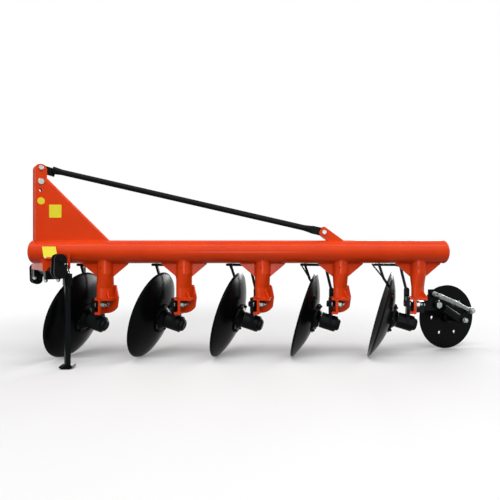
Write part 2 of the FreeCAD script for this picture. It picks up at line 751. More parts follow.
def cheek(name):
    """Side cheek that ties the head to the leg, with a curved lower edge."""
    over = S.cheek_thick
    top = head_high + S.cheek_over
    points = [
        (-S.flange_tip, head_low),
        (-S.web_back, head_low, ("about_x", -S.web_back - S.head_round, "left")),
        (S.cheek_low_back, head_low + S.cheek_low_rise),
        (S.cheek_back, head_high),
        (S.cheek_top_back, top),
        (0.0, top),
        (-S.web_back, head_high + over),
        (-S.flange_tip, head_high),
    ]
    corners = [(S.cheek_back, head_high, over), (S.cheek_top_back, top, over)]
    side = plate(name, points, S.cheek_thick, corners=corners)
    side.Placement = place(y=cheek_side + S.cheek_thick / 2)
    return side


def standard(number):
    """One standard: leg, gusset, head, rib and cheek, welded into one piece."""
    label = f"standard_{number}"
    pieces = [leg(label + "_leg"), gusset(label + "_gusset"), head(label + "_head")]
    pieces.append(rib(label + "_rib"))
    if number < DISC_COUNT:
        pieces.append(cheek(label + "_cheek"))
    welded = fuse(label + "_welded", *pieces)
    reach = S.gusset_long + S.pipe_dia
    across = Placement(
        Vector(0, 0, float(pipe_high)), Rotation(Vector(0, 0, 1), float(S.disc_yaw))
    ).multiply(Placement(Vector(-float(reach) / 2, 0, 0), ALONG_X))
    pipe = cylinder(label + "_pipe", pipe_radius + S.seat_gap, reach, across)
    node(cut(label, welded, pipe), label, standard_place(number))


# ---------------------------------------------------------------------------------------------
# Discs, their hubs and scrapers
# ---------------------------------------------------------------------------------------------
IN_STANDARD = place(
    -S.disc_ahead, S.disc_aside, disc_low, axis=(0, 1, 0), angle=90 + float(S.disc_tilt)
)


def disc_blade(number):
    """Dished disc with a flat middle, sharpened from its back."""
    label = f"disc_blade_{number}"
    bevel = disc_radius - 2 * S.disc_thick
    back_flat = root(
        (dish_sphere + S.disc_thick) * (dish_sphere + S.disc_thick)
        - (disc_back_face + dish_centre) * (disc_back_face + dish_centre)
    )
    centre = ("about_y", -dish_centre)
    points = [
        (0.0, S.disc_dish),
        (flat_radius, S.disc_dish, centre + ("right",)),
        (disc_radius, 0.0),
        (bevel, dish_at(bevel, -S.disc_thick), centre + ("left",)),
        (back_flat, disc_back_face),
        (0.0, disc_back_face),
    ]
    node(turned(label, points), label, disc_place(number))


def disc_hub(number):
    """Turning hub: flange on the disc's back, cone and spindle."""
    label = f"disc_hub_{number}"
    flange = S.hub_flange / 2
    spindle = S.spindle_dia / 2
    points = [
        (0.0, disc_back_face),
        (flange, disc_back_face),
        (flange, cone_start),
        (S.hub_cone_wide / 2, cone_start),
        (S.barrel_dia / 2, cone_end),
        (spindle, cone_end),
        (spindle, bore_end - S.run_gap),
        (0.0, bore_end - S.run_gap),
    ]
    node(turned(label, points), label, disc_place(number))


def hub_housing(number):
    """Bearing barrel with its dust cap, and the upright plate that bolts to the head."""
    label = f"hub_housing_{number}"
    outer = S.barrel_dia / 2
    bore = S.spindle_dia / 2 + S.pin_gap
    cap = S.barrel_cap_dia / 2
    edge = S.barrel_end_wall / 4
    step = barrel_end - 2 * edge
    points = [
        (bore, barrel_start),
        (outer, barrel_start),
        (outer, step),
        (cap + edge, step + edge),
        (cap + edge, barrel_end),
        (cap, barrel_end),
        (cap - edge, barrel_end + S.barrel_cap_long - 2 * edge),
        (cap - 4 * edge, barrel_end + S.barrel_cap_long),
        (0.0, barrel_end + S.barrel_cap_long),
        (0.0, bore_end),
        (bore, bore_end),
    ]
    barrel = turned(label + "_barrel", points)
    barrel.Placement = IN_STANDARD
    axis_high = disc_low - (S.disc_ahead - S.flange_tip - S.carrier_thick / 2) * (
        sine(S.disc_tilt) / cosine(S.disc_tilt)
    )
    shoulder_high = axis_high + outer * 0.8
    waist_high = head_high - S.head_deep * 0.75
    outline_points = [
        (S.disc_aside - outer, axis_high),
        (S.disc_aside + outer, axis_high),
        (S.disc_aside + outer, shoulder_high),
        (cheek_side + S.cheek_thick, waist_high),
        (cheek_side + S.cheek_thick, head_high),
        (-cheek_side, head_high),
        (-cheek_side, waist_high),
        (S.disc_aside - outer, shoulder_high),
    ]
    corners = [
        (cheek_side + S.cheek_thick, head_high, S.head_round),
        (-cheek_side, head_high, S.head_round),
    ]
    upright = plate(
        label + "_plate", outline_points, S.carrier_thick, plane="YZ_Plane", corners=corners
    )
    upright.Placement = place(x=-S.flange_tip - S.carrier_thick / 2)
    skin = edge / 2
    tunnel = cylinder(
        label + "_tunnel",
        outer - skin,
        S.barrel_long - 2 * skin,
        IN_STANDARD.multiply(place(z=barrel_start + skin)),
    )
    trimmed = cut(label + "_trimmed", upright, tunnel)
    node(fuse(label, barrel, trimmed), label, standard_place(number))


def strip_bar(name, route, side):
    """A flat bar bent along a route in XZ, aside of the standard's axis."""
    path = new_body(name + "_path")
    line = new_sketch(path, name + "_line")
    open_line(line, route)
    strip = doc.addObject("Part::Offset2D", name + "_strip")
    strip.Source = line
    strip.Fill = True
    bind(strip, Value=S.scraper_bar_thick)
    bar = doc.addObject("Part::Extrusion", name)
    bar.Base = strip
    bar.DirMode = "Custom"
    bar.Dir = Vector(0, 1, 0)
    bar.Symmetric = True
    bar.Solid = True
    bind(bar, LengthFwd=S.scraper_bar)
    bar.Placement = place(y=side)
    return bar


def scraper_post(name, x, side):
    """Round-topped post on a spacer beside the hub plate."""
    half = S.scraper_post_wide / 2
    low, high = head_high - S.scraper_post_low, head_high + S.scraper_post_high
    points = [(x - half, low), (x + half, low), (x + half, high), (x - half, high)]
    corners = [(x + half, high, half * ROUND_END), (x - half, high, half * ROUND_END)]
    post = plate(name, points, S.scraper_bar, corners=corners)
    post.Placement = place(y=side)
    spacer = cylinder(
        name + "_spacer",
        S.scraper_bar,
        side - cheek_side - S.cheek_thick,
        place(x, side, head_high - S.scraper_post_low / 2, axis=(1, 0, 0), angle=90),
    )
    return [post, spacer]


def scraper(number):
    """Scraper: post on the hub plate, bar over the disc, hanger, stay and a blade in the dish."""
    label = f"scraper_{number}"
    side = S.disc_aside + S.scraper_side
    post_x = -S.flange_tip - S.carrier_thick / 2
    level = disc_top + S.scraper_over
    rim_x = disc_radius * sine(S.disc_tilt) - S.disc_ahead
    blade_radius = (S.scraper_inner + S.scraper_outer) / 2
    blade_up = root(blade_radius * blade_radius - S.scraper_side * S.scraper_side)
    blade_depth = dish_at(blade_radius, S.scraper_gap + S.scraper_thick / 2)
    blade_x = blade_up * sine(S.disc_tilt) + blade_depth * cosine(S.disc_tilt) - S.disc_ahead
    blade_z = disc_low + blade_up * cosine(S.disc_tilt) - blade_depth * sine(S.disc_tilt)
    thick = S.scraper_bar_thick
    over_disc = [
        (post_x, head_high + S.scraper_post_high / 2),
        (post_x - 2 * S.scraper_bar, disc_top - S.scraper_bar),
        (rim_x + S.scraper_side, level - thick),
        (rim_x + S.scraper_side / 2, level),
        (-S.scraper_tip, level),
    ]
    bend = (-S.scraper_bend_ahead, level - S.scraper_bend_down)
    hanging = [(-S.scraper_drop_ahead, level), bend, (blade_x, blade_z)]
    # The stay runs from a cross bar on the level stretch down to the hanger's bend.
    stay_top = Vector(-float(S.scraper_stay_ahead), float(side + S.scraper_stay_out), float(level))
    stay_run = Vector(float(bend[0]), float(side), float(bend[1])) - stay_top
    stay = cylinder(label + "_stay", S.scraper_stay_dia / 2, stay_run.Length, Placement(
        stay_top, Rotation(Vector(0, 0, 1), stay_run)
    ))
    cross_start = Vector(-float(S.scraper_drop_ahead), float(side), float(level))
    cross_run = stay_top - cross_start
    cross_bar = cylinder(label + "_cross", S.scraper_stay_dia / 2, cross_run.Length, Placement(
        cross_start, Rotation(Vector(0, 0, 1), cross_run)
    ))
    inner, outer = S.scraper_inner, S.scraper_outer
    back = S.scraper_gap + S.scraper_thick
    section = [
        (inner, dish_at(inner, S.scraper_gap), ("about_y", -dish_centre, "right")),
        (outer, dish_at(outer, S.scraper_gap)),
        (outer, dish_at(outer, back), ("about_y", -dish_centre, "left")),
        (inner, dish_at(inner, back)),
    ]
    blade = turned(label + "_blade", section, S.scraper_sweep)
    bar_angle = math.degrees(math.atan2(float(S.scraper_side), -float(blade_up)))
    blade.Placement = IN_STANDARD.multiply(place(angle=bar_angle - float(S.scraper_sweep) / 2))
    bars = [strip_bar(label + "_bar", over_disc, side), strip_bar(label + "_hanger", hanging, side)]
    pieces = scraper_post(label + "_post", post_x, side) + bars + [stay, cross_bar, blade]
    node(fuse(label, *pieces), label, standard_place(number))


# ---------------------------------------------------------------------------------------------
# Mast, its gusset and the brace
# ---------------------------------------------------------------------------------------------
travel_sine = sine(S.travel_angle)
travel_cosine = cosine(S.travel_angle)
mast_x = S.pipe_front + S.mast_back
brace_hole_high = S.mast_rise - S.mast_brace_drop
mast_side = S.mast_inside / 2 + S.mast_thick / 2


def mast_place():
    """Foot of the mast on the pipe's axis, X turned into the line of travel."""
    return place(mast_x, S.pipe_side, pipe_high, angle=S.travel_angle)


def mast_bar(label, way):
    """One upright bar of the mast, saddled on the pipe; way is the side that it stands on."""
    half = S.mast_wide / 2
    foot = pipe_radius / 4
    points = [
        (-half, foot),
        (half, foot),
        (half, S.mast_rise),
        (-half, S.mast_rise),
    ]
    corners = [(-half, S.mast_rise, half * ROUND_END), (half, S.mast_rise, half * ROUND_END)]
    circles = [
        (0.0, brace_hole_high, S.mast_brace_hole),
        (0.0, S.mast_rise - S.link_pin_drop, S.link_hole),
        (0.0, S.mast_rise - S.link_spare_drop, S.link_hole),
    ]
    bar = plate(label + "_bar", points, S.mast_thick, corners=corners, circles=circles)
    bar.Placement = mast_place().multiply(place(y=way * mast_side))
    node(cut(label, bar, pipe_space(label + "_pipe")), label)


def mast_gusset():
    """Folded gusset behind the mast: a three-cornered box that runs down onto the pipe."""
    front = S.mast_back
    low = pipe_radius - S.pipe_wall
    points = [
        (front, low),
        (S.web_long, low),
        (S.web_long, pipe_radius),
        (front + S.web_top, S.web_rise),
        (front, S.web_rise),
    ]
    corners = [(front + S.web_top, S.web_rise, S.web_round)]
    web = plate("mast_gusset_web", points, S.web_lip, corners=corners)
    fold_edges(web, points[2], S.web_fold)
    web.Placement = place(S.pipe_front, S.pipe_side, pipe_high)
    gap = S.seat_gap
    half = S.mast_wide / 2 + gap
    deep = S.mast_inside / 2 + S.mast_thick + gap
    mast_room = box(
        "mast_gusset_mast_room",
        2 * half,
        2 * deep,
        S.mast_rise,
        mast_place().multiply(place(-half, -deep, 0.0)),
    )
    trimmed = cut("mast_gusset", web, mast_room, pipe_space("mast_gusset_pipe"))
    node(trimmed, "mast_gusset")


def headed_pin(label, diameter, grip, head, head_thick, tail, placement):
    """A pin along Y: its head on the near side, its tail past the far side of what it holds."""
    radius = diameter / 2
    chamfer = PIN_CHAMFER
    points = [
        (0.0, -head_thick),
        (head / 2 - chamfer, -head_thick),
        (head / 2, -head_thick + chamfer),
        (head / 2, 0.0),
        (radius, 0.0),
        (radius, grip + tail - chamfer),
        (radius - chamfer, grip + tail),
        (0.0, grip + tail),
    ]
    lies = placement.multiply(place(axis=(1, 0, 0), angle=-90))
    node(turned(label, points), label, lies)


def mast_pins():
    grip = S.mast_inside + 2 * S.mast_thick
    near = -(S.mast_inside / 2 + S.mast_thick)
    head = S.link_head
    headed_pin(
        "top_link_pin",
        S.link_hole - 2 * S.pin_gap,
        grip,
        head,
        PIN_HEAD,
        PIN_TAIL,
        mast_place().multiply(place(y=near, z=S.mast_rise - S.link_pin_drop)),
    )
    headed_pin(
        "brace_pin_front",
        S.mast_brace_hole - 2 * S.pin_gap,
        grip,
        S.mast_brace_hole + PIN_HEAD,
        PIN_HEAD,
        PIN_TAIL,
        mast_place().multiply(place(y=near, z=brace_hole_high)),
    )
    ear_grip = S.brace_flat + 2 * S.boss_gap + 2 * S.ear_sheet
    headed_pin(
        "brace_pin_rear",
        S.ear_pin - 2 * S.pin_gap,
        ear_grip,
        S.ear_pin + PIN_HEAD,
        PIN_HEAD,
        PIN_TAIL,
        place(S.pipe_front + S.ear_place, S.pipe_side - ear_grip / 2, pipe_high + S.ear_rise),
    )


def brace_ear():
    """Forked ear on top of the pipe, slanting forward to the rear pin of the brace."""
    lean_x, lean_z = cosine(S.ear_lean), sine(S.ear_lean)
    half = S.ear_wide / 2
    drop = S.ear_rise - pipe_radius * 0.8
    reach = drop / lean_z
    # Corners along the slanting bar: back and down it, then across it.
    points = [
        (reach * lean_x - half / lean_z, -drop),
        (-S.ear_end * lean_x - half * lean_z, S.ear_end * lean_z - half * lean_x),
        (-S.ear_end * lean_x + half * lean_z, S.ear_end * lean_z + half * lean_x),
        (reach * lean_x + half / lean_z, -drop),
    ]
    corners = [points[1] + (half * 0.8,), points[2] + (half * 0.5,)]
    sides = []
    inside = S.brace_flat / 2 + S.boss_gap
    for name, way in (("near", -1.0), ("far", 1.0)):
        side = plate(
            f"brace_ear_{name}",
            points,
            S.ear_sheet,
            corners=corners,
            circles=[(0.0, 0.0, S.ear_pin)],
        )
        side.Placement = place(
            S.pipe_front + S.ear_place,
            S.pipe_side + way * (inside + S.ear_sheet / 2),
            pipe_high + S.ear_rise,
        )
        sides.append(side)
    joined = fuse("brace_ear_sides", *sides)
    node(cut("brace_ear", joined, pipe_space("brace_ear_pipe")), "brace_ear")


def brace_tube():
    """Stay from the mast's top to the ear: a tube with both ends pressed flat and drilled."""
    bend = S.mast_wide / 2 + S.brace_flat
    start = (mast_x + bend * travel_cosine, S.pipe_side + bend * travel_sine)
    high = pipe_high + brace_hole_high
    end = (S.pipe_front + S.ear_place, S.pipe_side, pipe_high + S.ear_rise)
    run_x, run_y, run_z = end[0] - start[0], end[1] - start[1], end[2] - high
    flat_run = root(run_x * run_x + run_y * run_y)
    length = root(run_x * run_x + run_y * run_y + run_z * run_z)
    yaw = math.degrees(math.atan2(float(run_y), float(run_x)))
    fall = math.degrees(math.atan2(float(-run_z), float(flat_run)))
    along = place(start[0], start[1], high, angle=yaw).multiply(
        place(axis=(0, 1, 0), angle=90 + fall)
    )
    flat = S.brace_flat_long
    change = S.brace_change
    first = flat / 3
    last = length - flat * 0.9
    tube = cylinder(
        "brace_tube_round",
        S.brace_dia / 2,
        last - first - 2 * change,
        along.multiply(place(z=first + change)),
    )
    half = S.brace_flat_wide / 2
    thin = S.brace_flat
    changes = []
    for name, flat_end, round_end in (
        ("front", first, first + change), ("rear", last, last - change)
    ):
        pressed = ellipse(f"brace_tube_{name}_pressed", S.brace_flat_wide, thin, 0.0, 0.0)
        pressed.Placement = along.multiply(place(z=flat_end))
        ring = ellipse(f"brace_tube_{name}_ring", S.brace_dia, S.brace_dia, 0.0, 0.0)
        ring.Placement = along.multiply(place(z=round_end))
        loft = doc.addObject("Part::Loft", f"brace_tube_{name}_change")
        loft.Sections = [pressed, ring]
        loft.Solid = True
        loft.Ruled = True
        changes.append(loft)
    front = plate(
        "brace_tube_front",
        [
            (-half, -half),
            (bend + flat / 2, -half),
            (bend + flat / 2, half),
            (-half, half),
        ],
        thin,
        corners=[(-half, -half, half * ROUND_END), (-half, half, half * ROUND_END)],
        circles=[(0.0, 0.0, S.mast_brace_hole)],
    )
    front.Placement = mast_place().multiply(place(z=brace_hole_high)).multiply(
        place(axis=(0, 1, 0), angle=fall)
    )
    rear = plate(
        "brace_tube_rear",
        [(-flat, -half), (half, -half), (half, half), (-flat, half)],
        thin,
        corners=[(half, -half, half * ROUND_END), (half, half, half * ROUND_END)],
        circles=[(0.0, 0.0, S.ear_pin)],
    )
    rear.Placement = place(end[0], end[1], end[2]).multiply(place(axis=(0, 1, 0), angle=fall))
    node(fuse("brace_tube", tube, *changes, front, rear), "brace_tube")


# ---------------------------------------------------------------------------------------------
# Hitch: cross shaft, clevises, saddle and parking stand
# ---------------------------------------------------------------------------------------------
shaft_radius = S.shaft_dia / 2
shaft_high = pipe_high - S.shaft_drop
saddle_end = S.shaft_long - S.saddle_short


def shaft_place():
    """Near end of the cross shaft: Y along the shaft, X into the line of travel."""
    return place(
        S.pipe_front + S.shaft_near_x,
        S.pipe_side - S.shaft_near_y,
        shaft_high,
        angle=S.travel_angle,
    )


def shaft_body(name, radius, start, length):
    turn = place(y=start, axis=(1, 0, 0), angle=-90)
    return cylinder(name, radius, length, shaft_place().multiply(turn))


def cross_shaft():
    node(shaft_body("cross_shaft", shaft_radius, 0.0, S.shaft_long), "cross_shaft")


clevis_span = S.clevis_inside + 2 * S.clevis_thick


def clevis(label, start, way):
    """Two cheeks on the cross shaft that hold a lower link pin; way is 1 for up, -1 for down."""
    half, end = S.clevis_wide / 2, S.clevis_end / 2
    points = [
        (-half, -way * half),
        (half, -way * half),
        (end, way * (S.clevis_reach + end)),
        (-end, way * (S.clevis_reach + end)),
    ]
    if way < 0:
        points.reverse()
    corners = [(x, z, (half if abs(float(x)) == float(half) else end) * ROUND_END)
               for x, z in points]
    circles = [
        (0.0, 0.0, S.shaft_dia + 2 * S.seat_gap),
        (0.0, way * S.clevis_reach, S.clevis_pin),
    ]
    cheeks = []
    for index, middle in enumerate(
        (S.clevis_thick / 2, clevis_span - S.clevis_thick / 2), start=1
    ):
        chain_hole = [(S.chain_hole_back, S.chain_hole_rise, S.chain_hole)]
        side = plate(
            f"{label}_cheek_{index}",
            points,
            S.clevis_thick,
            corners=corners,
            circles=circles + (chain_hole if index == 1 and way > 0 else []),
        )
        side.Placement = shaft_place().multiply(place(y=start + middle))
        cheeks.append(side)
    return cheeks


def clevises():
    far_start = S.shaft_long - S.clevis_place - clevis_span
    for side, start, way in (("near", S.clevis_place, 1.0), ("far", far_start, -1.0)):
        outer, inner = clevis(f"clevis_{side}", start, way)
        if side == "far":
            outer, inner = inner, outer
        node(outer, f"clevis_{side}_outer")
        node(inner, f"clevis_{side}_inner")
        headed_pin(
            f"link_pin_{side}",
            S.clevis_pin - 2 * S.pin_gap,
            clevis_span,
            S.clevis_pin * 1.5,
            PIN_HEAD,
            PIN_TAIL,
            shaft_place()
            .multiply(place(y=start + clevis_span, z=way * S.clevis_reach))
            .multiply(place(angle=180)),
        )


def saddle_wall(name, middle):
    """Wall of the saddle along the cross shaft, up to the pipe; middle is its place in X."""
    lean = middle * travel_sine / travel_cosine
    far_edge = (S.shaft_near_y + pipe_radius) / travel_cosine - lean
    points = [
        (S.saddle_start, S.saddle_low),
        (saddle_end, S.saddle_low),
        (saddle_end, S.saddle_wall),
        (far_edge + S.saddle_thick, S.saddle_wall),
        (far_edge - S.saddle_thick, S.saddle_peak),
        (S.saddle_start, S.saddle_peak),
    ]
    wall = plate(name, points, S.saddle_thick, plane="YZ_Plane")
    wall.Placement = shaft_place().multiply(place(middle))
    return wall


def label_plate():
    """Sloping plate from the side of the pipe down to the saddle's near end, for the label."""
    side = root(pipe_radius * pipe_radius - S.label_plate_rise * S.label_plate_rise)
    long, deep, lean = S.label_plate_long, S.label_plate_deep, S.label_plate_lean
    sloping = plate(
        "label_plate",
        [(0.0, 0.0), (lean, -deep), (long + lean, -deep), (long, 0.0)],
        S.label_plate_thick,
    )
    sloping.Placement = place(
        S.pipe_front + S.label_plate_start, S.pipe_side - side, pipe_high + S.label_plate_rise,
        axis=(1, 0, 0), angle=-S.label_plate_slope,
    )
    return sloping


def hitch_saddle():
    """Channel under the pipe that sits on the cross shaft, closed by a plate at each end."""
    half = S.saddle_wide / 2
    thick = S.saddle_thick
    long = saddle_end - S.saddle_start
    web_low = shaft_radius + S.seat_gap
    walls = [
        saddle_wall(f"hitch_saddle_wall_{name}", way * (half - thick / 2))
        for name, way in (("front", -1.0), ("rear", 1.0))
    ]
    web = box("hitch_saddle_web", S.saddle_wide, long, S.saddle_web,
              shaft_place().multiply(place(-half, S.saddle_start, web_low)))
    near_end = box("hitch_saddle_near_end", S.saddle_wide, thick, S.saddle_peak - S.saddle_low,
                   shaft_place().multiply(place(-half, S.saddle_start, S.saddle_low)))
    far_end = box("hitch_saddle_far_end", S.saddle_wide, thick, S.saddle_wall - S.saddle_low,
                  shaft_place().multiply(place(-half, saddle_end - thick, S.saddle_low)))
    room = shaft_body("hitch_saddle_shaft", shaft_radius + S.seat_gap, 0.0, S.shaft_long)
    welded = fuse("hitch_saddle_welded", *walls, web, near_end, far_end, label_plate())
    node(cut("hitch_saddle", welded, pipe_space("hitch_saddle_pipe"), room), "hitch_saddle")


def shaft_clamp(label, start):
    """Block bolted up under the saddle round the lower half of the cross shaft."""
    block = box(label + "_block", S.clamp_wide, S.clamp_long, S.clamp_deep + S.saddle_low,
                shaft_place().multiply(place(-S.clamp_wide / 2, start, -S.clamp_deep)))
    room = shaft_body(label + "_shaft", shaft_radius + S.seat_gap, 0.0, S.shaft_long)
    node(cut(label, block, room), label)


def pipe_tab():
    """Small bar welded to the near side of the pipe."""
    half = S.tab_wide / 2
    points = [(-half, -S.tab_drop), (half, -S.tab_drop), (half, 0.0), (-half, 0.0)]
    corners = [(-half, -S.tab_drop, half / 2), (half, -S.tab_drop, half / 2)]
    bar = plate("pipe_tab_bar", points, S.tab_thick, corners=corners)
    bar.Placement = place(
        S.pipe_front + S.tab_place, S.pipe_side - pipe_radius + S.tab_thick / 2, pipe_high
    )
    node(cut("pipe_tab", bar, pipe_space("pipe_tab_pipe")), "pipe_tab")


def chain_link(name, back, turn, high):
    """One flat-sided link, its middle at a height on the chain's line."""
    inner, outer = S.link_wide / 2, S.link_wide / 2 + S.link_wire
    straight = S.link_long / 2 - inner
    body = new_body(name)
    sketch = new_sketch(body, name + "_outline")
    for half in (outer, inner):
        outline(sketch, [
            (half, -straight),
            (half, straight, ("about_y", straight, "left")),
            (-half, straight),
            (-half, -straight, ("about_y", -straight, "left")),
        ])
    pad(body, sketch, S.link_wire)
    body.Placement = place(back, 0, high, angle=turn)
    return body


def chain():
    """Chain on a ring through the near clevis: its links lie crosswise in turn, with an end pin."""
    wire = S.link_wire
    overlap = S.seat_gap / 2
    inside, half_cheek = S.ring_dia / 2 - wire / 2, S.clevis_thick / 2
    # The ring's wire rests on the edge of the hole at both faces of the cheek.
    reach = S.chain_hole / 2 - S.seat_gap + root(inside * inside - half_cheek * half_cheek)
    middle_back = reach * cosine(S.ring_droop)
    middle_fall = reach * sine(S.ring_droop)
    low_back = middle_back + S.ring_dia / 2 * cosine(S.ring_droop)
    low_fall = middle_fall + S.ring_dia / 2 * sine(S.ring_droop)
    ring = bind(doc.addObject("Part::Torus", "chain_ring"), Radius1=S.ring_dia / 2, Radius2=wire / 2)
    ring.Placement = place(middle_back, 0, -middle_fall, axis=(0, 1, 0), angle=S.ring_droop)
    pitch = S.link_long + overlap
    first = wire / 2 - overlap - S.link_long / 2 - low_fall
    links = [
        chain_link(f"chain_link_{index}", low_back, 90.0 * (index % 2), first - pitch * index)
        for index in range(CHAIN_LINKS)
    ]
    pin_long = 3 * S.link_long
    low = first - pitch * (CHAIN_LINKS - 1) - S.link_long / 2
    pin = cylinder("chain_pin", wire, pin_long, place(low_back, 0, low - pin_long + overlap))
    lies = shaft_place().multiply(
        place(S.chain_hole_back, S.clevis_place + half_cheek, S.chain_hole_rise)
    )
    node(fuse("chain", ring, *links, pin), "chain", lies)


def stand_place():
    """Axis of the parking stand on the ground."""
    return shaft_place().multiply(place(S.stand_behind, S.stand_inside, -shaft_high))


def stand():
    """Square parking stand: a sleeve welded below the cross shaft and a bar that slides in it."""
    half = S.stand_sleeve / 2
    inner = S.stand_bar / 2 + S.boss_gap
    top = shaft_high - S.stand_sleeve_drop
    low = top - S.stand_sleeve_long
    past = S.stand_sleeve_long / 10
    outside = box(
        "stand_sleeve_outside",
        S.stand_sleeve,
        S.stand_sleeve,
        S.stand_sleeve_long,
        stand_place().multiply(place(-half, -half, low)),
    )
    inside = box(
        "stand_sleeve_inside",
        2 * inner,
        2 * inner,
        S.stand_sleeve_long + 2 * past,
        stand_place().multiply(place(-inner, -inner, low - past)),
    )
    room = shaft_body("stand_sleeve_shaft", shaft_radius + S.seat_gap, 0.0, S.shaft_long)
    node(cut("stand_sleeve", outside, inside, room), "stand_sleeve")
    bar_half = S.stand_bar / 2
    bar = box(
        "stand_leg_bar",
        S.stand_bar,
        S.stand_bar,
        top - S.stand_foot_thick,
        stand_place().multiply(place(-bar_half, -bar_half, S.stand_foot_thick)),
    )
    thick = S.stand_foot_thick
    wide, lip = S.stand_foot / 2, S.stand_foot_lip
    flat = wide - lip
    rise = lip * 0.75
    foot = plate(
        "stand_leg_foot",
        [
            (-flat, 0.0),
            (flat, 0.0),
            (wide, rise),
            (wide - thick / 2, rise + thick),
            (flat - thick / 2, thick),
            (thick / 2 - flat, thick),
            (thick / 2 - wide, rise + thick),
            (-wide, rise),
        ],
        S.stand_foot_deep,
    )
    foot.Placement = stand_place().multiply(place(angle=-S.travel_angle))
    node(fuse("stand_leg", bar, foot), "stand_leg")


# ---------------------------------------------------------------------------------------------
# Rear furrow wheel, its arm and the screw that sets its depth
# ---------------------------------------------------------------------------------------------
def arm_place():
    """Pivot of the wheel arm: X along the wheel's plane, Y away from the land."""
    return place(
        S.pipe_front + S.first_standard + (DISC_COUNT - 1) * standard_pitch + S.arm_pivot_x,
        S.pipe_side + S.arm_pivot_y,
        arm_pivot_high,
        angle=S.wheel_yaw,
    )


wheel_radius = S.wheel_dia / 2
axle_fall = arm_pivot_high - wheel_radius
bracket_near = S.run_gap
screw_side = -(S.arm_thick + S.run_gap + S.screw_boss_long / 2)
screw_pin_start = screw_side - S.screw_boss_long / 2 - S.screw_pin / 2


def boss(name, x, z, diameter, near, far):
    """A round boss across the wheel's plane, from near to far along Y."""
    turn = place(x, near, z, axis=(1, 0, 0), angle=-90)
    return cylinder(name, diameter / 2, far - near, turn)


def bar_between(name, x1, z1, x2, z2, width, thickness):
    """A straight bar from one point to another, in XZ."""
    run_x, run_z = x2 - x1, z2 - z1
    length = root(run_x * run_x + run_z * run_z)
    across_x, across_z = run_z / length * (width / 2), run_x / length * (width / 2)
    points = [
        (x1 + across_x, z1 - across_z),
        (x2 + across_x, z2 - across_z),
        (x2 - across_x, z2 + across_z),
        (x1 - across_x, z1 + across_z),
    ]
    return plate(name, points, thickness)


def wheel_arm():
    """Arm from the pivot to the axle, with a lug for the adjuster and the axle itself."""
    thick = S.arm_thick
    axle_x, axle_z = S.arm_run, -axle_fall
    lug_x, lug_z = S.screw_back, -S.screw_fall
    long = root(axle_x * axle_x + axle_z * axle_z)
    fall = math.degrees(math.atan2(float(axle_fall), float(axle_x)))
    tube = cylinder(
        "wheel_arm_tube",
        S.arm_tube / 2,
        long - S.arm_tube_start,
        place(y=-S.arm_tube / 2 - S.boss_gap, axis=(0, 1, 0), angle=90 + fall).multiply(
            place(z=S.arm_tube_start)
        ),
    )
    bar = bar_between("wheel_arm_bar", Size(0.0, "0"), Size(0.0, "0"), axle_x, axle_z,
                      S.arm_boss * 0.9, thick)
    horn = bar_between("wheel_arm_horn", axle_x, axle_z, lug_x, lug_z, S.lug_wide, thick)
    for flat in (bar, horn):
        flat.Placement = place(y=-thick / 2)
    wheel_near = S.wheel_offset - S.wheel_hub_long / 2
    solids = [
        bar,
        horn,
        tube,
        boss("wheel_arm_eye", 0.0, 0.0, S.arm_boss, -thick, Size(0.0, "0")),
        boss("wheel_arm_axle_boss", axle_x, axle_z, S.arm_boss, -S.arm_tube - thick / 2,
             Size(0.0, "0")),
        boss("wheel_arm_lug", lug_x, lug_z, S.lug_wide, -thick, Size(0.0, "0")),
        boss("wheel_arm_collar", axle_x, axle_z, S.axle_dia * 1.5, -thick,
             wheel_near - S.boss_gap),
        boss("wheel_arm_axle", axle_x, axle_z, S.axle_dia, -thick,
             S.wheel_offset + S.wheel_hub_long / 2 + thick),
        boss("wheel_arm_screw_pin", lug_x, lug_z, S.screw_pin, screw_pin_start,
             Size(0.0, "0")),
    ]
    hole = boss("wheel_arm_hole", 0.0, 0.0, S.arm_pin + 2 * S.pin_gap, -2 * thick, thick)
    node(cut("wheel_arm", fuse("wheel_arm_solid", *solids), hole), "wheel_arm", arm_place())


